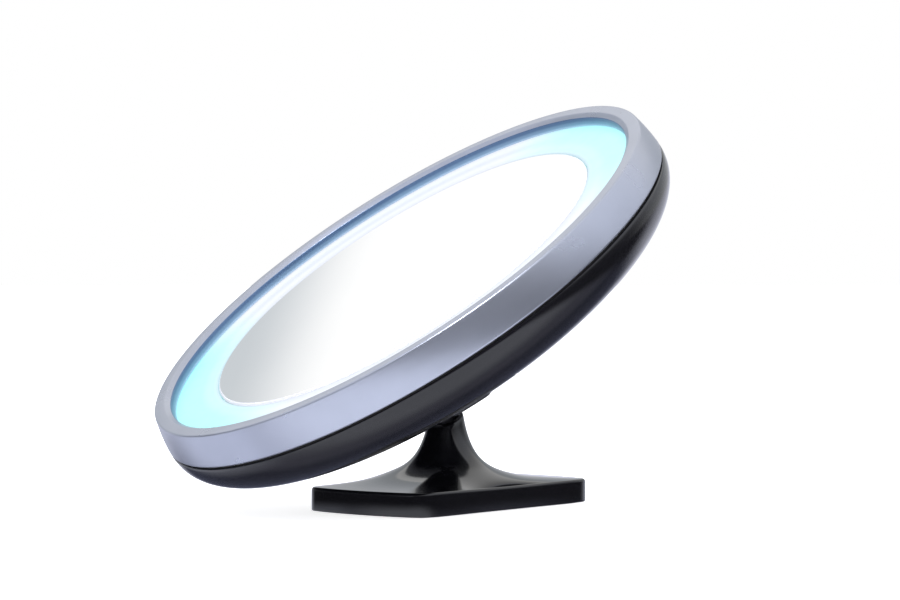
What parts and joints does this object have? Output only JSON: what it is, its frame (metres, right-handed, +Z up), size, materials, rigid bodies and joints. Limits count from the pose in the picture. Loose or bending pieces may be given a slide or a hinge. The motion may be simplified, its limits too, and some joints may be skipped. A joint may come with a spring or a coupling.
{
  "type": "lighted vanity mirror",
  "caption": "Round make-up mirror ringed by a light-emitting diffuser in a silver bezel, its black rear shell tilting and swivelling on a stem that flares from a low rectangular base.",
  "frame": {"origin": "on the table, at the stem's axis, in the resting face of the foot pad", "axes": "+Z up the stem; the base's long side runs along Y and its front faces -Y, towards the user; +X is the user's right"},
  "size_m": [0.2002, 0.1802, 0.144],
  "materials": {
    "gloss_black": "glossy moulded",
    "matte_black": "fine texture",
    "rubber_black": "matte",
    "silver_plastic": "satin silver lacquer",
    "white_plastic": "satin",
    "diffuser": "frosted opal",
    "mirror": "silvered, ground edge",
    "foam": "foam",
    "board_white": "solder mask",
    "board_green": "solder mask",
    "led_glow": "phosphor",
    "wire_red": "PVC jacket",
    "post_steel": "zinc plated",
    "bracket_steel": "zinc plated",
    "screw_steel": "zinc plated",
    "screw_black": "blackened",
    "ballast_steel": "mill",
    "bushing": "natural acetal",
    "contact_metal": "nickel plated",
    "cell_jacket": "plain shrink jacket"
  },
  "bodies": {
    "base": {"foot_pad": "rubber_black", "bottom_cover": "matte_black", "base_screws": "screw_steel", "ballast_plate": "ballast_steel", "base_shell": "gloss_black", "stem_bushing": "bushing"},
    "swivel": {"swivel_post": "post_steel", "post_washers": "post_steel", "post_nut": "post_steel"},
    "head": {"hinge_bracket": "bracket_steel", "hinge_pin": "post_steel", "pin_nut": "post_steel", "hinge_washers": "bushing", "bracket_screws": "screw_steel", "chassis": "white_plastic", "led_board": "board_white", "led_chips": "led_glow", "diffuser_ring": "diffuser", "foam_pad": "foam", "mirror_glass": "mirror", "bezel_ring": "silver_plastic", "seam_gasket": "rubber_black", "rear_shell": "gloss_black", "shell_screws": "screw_black", "driver_board": "board_green", "wire_pair": "wire_red", "switch_body": "matte_black", "battery_tray_right": "matte_black", "battery_tray_left": "matte_black", "cell_1": "cell_jacket", "cell_2": "cell_jacket", "cell_3": "cell_jacket", "cell_4": "cell_jacket", "contact_springs": "contact_metal", "contact_tabs": "contact_metal"},
    "switch": {"switch_knob": "silver_plastic"},
    "door_right": {"battery_door_right": "gloss_black"},
    "door_left": {"battery_door_left": "gloss_black"}
  },
  "joints": [
    {"name": "swivel_turn", "type": "hinge", "parent": "base", "child": "swivel", "pos_m": [0, 0, 0.0569], "axis": [0, 0, 1], "continuous": true},
    {"name": "head_tilt", "type": "hinge", "parent": "swivel", "child": "head", "pos_m": [0, 0, 0.0569], "axis": [-0.9171, 0.3987, 0], "range_deg": [-4.5, 35.5]},
    {"name": "switch_slide", "type": "slide", "parent": "head", "child": "switch", "axis": [-0.9171, 0.3987, 0], "range_m": [0, 0.004]},
    {"name": "door_right_pull", "type": "slide", "parent": "head", "child": "door_right", "axis": [0.2316, 0.5325, -0.8141], "range_m": [0, 0.012]},
    {"name": "door_left_pull", "type": "slide", "parent": "head", "child": "door_left", "axis": [0.2316, 0.5325, -0.8141], "range_m": [0, 0.012]}
  ]
}
